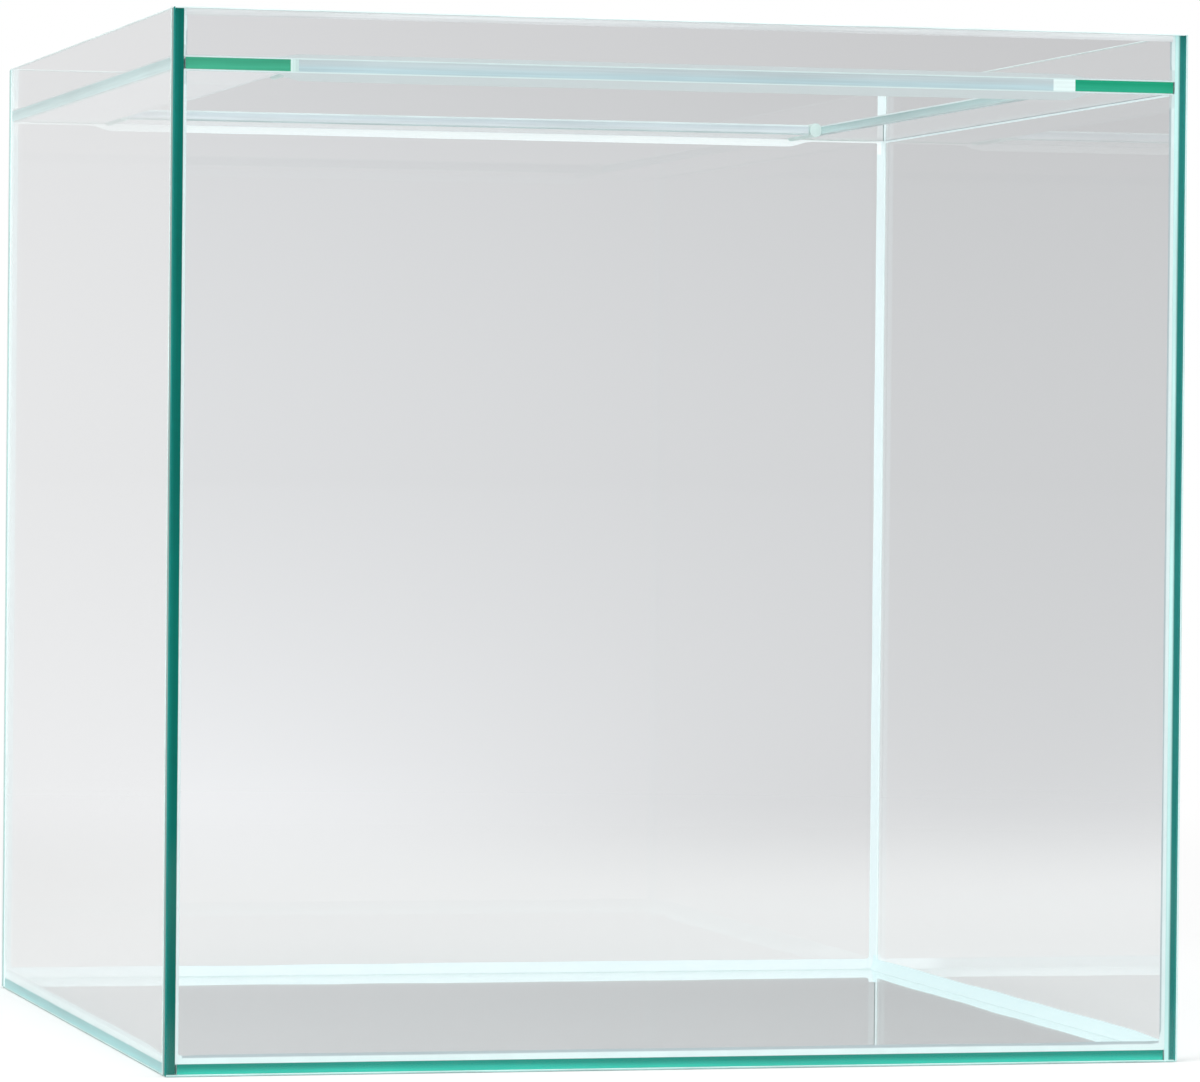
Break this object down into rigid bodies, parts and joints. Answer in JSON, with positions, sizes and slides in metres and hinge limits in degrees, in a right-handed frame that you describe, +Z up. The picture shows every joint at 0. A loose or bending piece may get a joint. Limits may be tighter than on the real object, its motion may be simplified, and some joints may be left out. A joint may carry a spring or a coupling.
{
  "type": "cube aquarium",
  "caption": "Open-topped cube aquarium of green-edged float glass, silicone bonded, with a flush floor between the walls and a ring of glass braces just below the rim.",
  "frame": {"origin": "middle of the base, on the surface the tank stands on", "axes": "+Z up, -Y out of the front pane, +X to the right when facing the front pane"},
  "size_m": [0.45, 0.45, 0.45],
  "materials": {
    "clear_glass": "polished float glass, green at the cut edges",
    "clear_silicone": "clear aquarium silicone, glossy and slightly milky"
  },
  "bodies": {
    "root": {"floor_pane": "clear_glass", "front_pane": "clear_glass", "back_pane": "clear_glass", "left_pane": "clear_glass", "right_pane": "clear_glass", "left_brace": "clear_glass", "right_brace": "clear_glass", "front_brace": "clear_glass", "back_brace": "clear_glass", "floor_seam_front": "clear_silicone", "floor_seam_back": "clear_silicone", "floor_seam_left": "clear_silicone", "floor_seam_right": "clear_silicone", "corner_seam_front_left": "clear_silicone", "corner_seam_front_right": "clear_silicone", "corner_seam_back_left": "clear_silicone", "corner_seam_back_right": "clear_silicone", "brace_seam_front": "clear_silicone", "brace_seam_back": "clear_silicone", "brace_seam_left": "clear_silicone", "brace_seam_right": "clear_silicone", "brace_butt_joints": "clear_silicone"}
  },
  "joints": []
}
